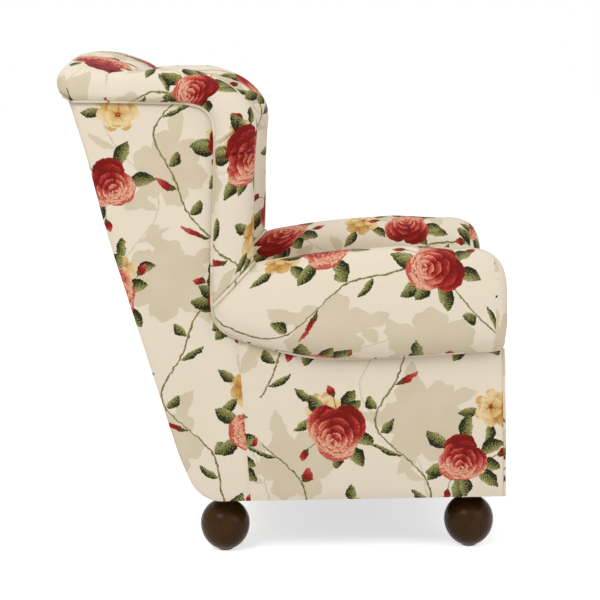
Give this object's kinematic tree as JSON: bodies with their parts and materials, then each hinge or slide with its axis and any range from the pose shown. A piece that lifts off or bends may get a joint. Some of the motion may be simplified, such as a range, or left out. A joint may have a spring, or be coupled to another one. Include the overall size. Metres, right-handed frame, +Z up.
{
  "type": "fireside chair",
  "caption": "Wing-back upholstered fireside chair with rolled arms, arched crest, loose boxed seat cushion and turned ball feet, in a cream rose-printed cloth",
  "frame": {"origin": "On the floor, under the middle of the chair's outline", "axes": "+Z up, the sitter faces -Y, +X towards the sitter's left"},
  "size_m": [0.8, 0.9, 1.05],
  "materials": {
    "floral_cloth": "cream cotton cloth printed with roses, leaves and buds",
    "beech": "planed, unfinished",
    "plywood": "birch-faced, unfinished",
    "hardboard": "smooth pressed board",
    "dark_wood": "turned, dark stain under a gloss varnish",
    "zinc_steel": "bright zinc plate",
    "spring_steel": "oil-tempered spring wire and pressed clips",
    "webbing": "woven jute webbing",
    "dust_cloth": "thin black spunbonded cloth",
    "deck_cloth": "plain cream lining cloth over wadding",
    "glide_plastic": "moulded dark plastic"
  },
  "bodies": {
    "chair": {"arm_board_left": "beech", "arm_board_right": "beech", "arm_front_left": "floral_cloth", "arm_front_right": "floral_cloth", "arm_liner_left": "hardboard", "arm_liner_right": "hardboard", "arm_pad_left": "floral_cloth", "arm_pad_right": "floral_cloth", "arm_scroll_boards_left": "plywood", "arm_scroll_boards_right": "plywood", "back_pad": "floral_cloth", "back_top_rail": "beech", "back_tuck_rail": "beech", "back_webbing_cross": "webbing", "back_webbing_upright": "webbing", "corner_block_front_left": "beech", "corner_block_front_right": "beech", "corner_block_rear_left": "beech", "corner_block_rear_right": "beech", "crest_pad": "floral_cloth", "dust_cover": "dust_cloth", "feet": "dark_wood", "foot_glides": "glide_plastic", "foot_studs": "zinc_steel", "front_border": "floral_cloth", "front_post_left": "beech", "front_post_right": "beech", "front_rail": "beech", "outside_arm_cover_left": "floral_cloth", "outside_arm_cover_right": "floral_cloth", "outside_back_cover": "floral_cloth", "outside_wing_cover_left": "floral_cloth", "outside_wing_cover_right": "floral_cloth", "rear_post_left": "beech", "rear_post_right": "beech", "rear_rail": "beech", "seat_deck": "deck_cloth", "seat_rear_rail": "beech", "seat_side_rail_left": "beech", "seat_side_rail_right": "beech", "seat_springs": "spring_steel", "side_piping_left": "floral_cloth", "side_piping_right": "floral_cloth", "side_rail_left": "beech", "side_rail_right": "beech", "spring_clips": "spring_steel", "tee_nuts": "zinc_steel", "wing_board_left": "plywood", "wing_board_right": "plywood", "wing_pad_left": "floral_cloth", "wing_pad_right": "floral_cloth"},
    "cushion": {"seat_cushion": "floral_cloth", "cushion_piping": "floral_cloth"}
  },
  "joints": [
    {"name": "cushion_lift", "type": "slide", "parent": "chair", "child": "cushion", "axis": [0, 0, 1], "range_m": [0, 0.3]}
  ]
}
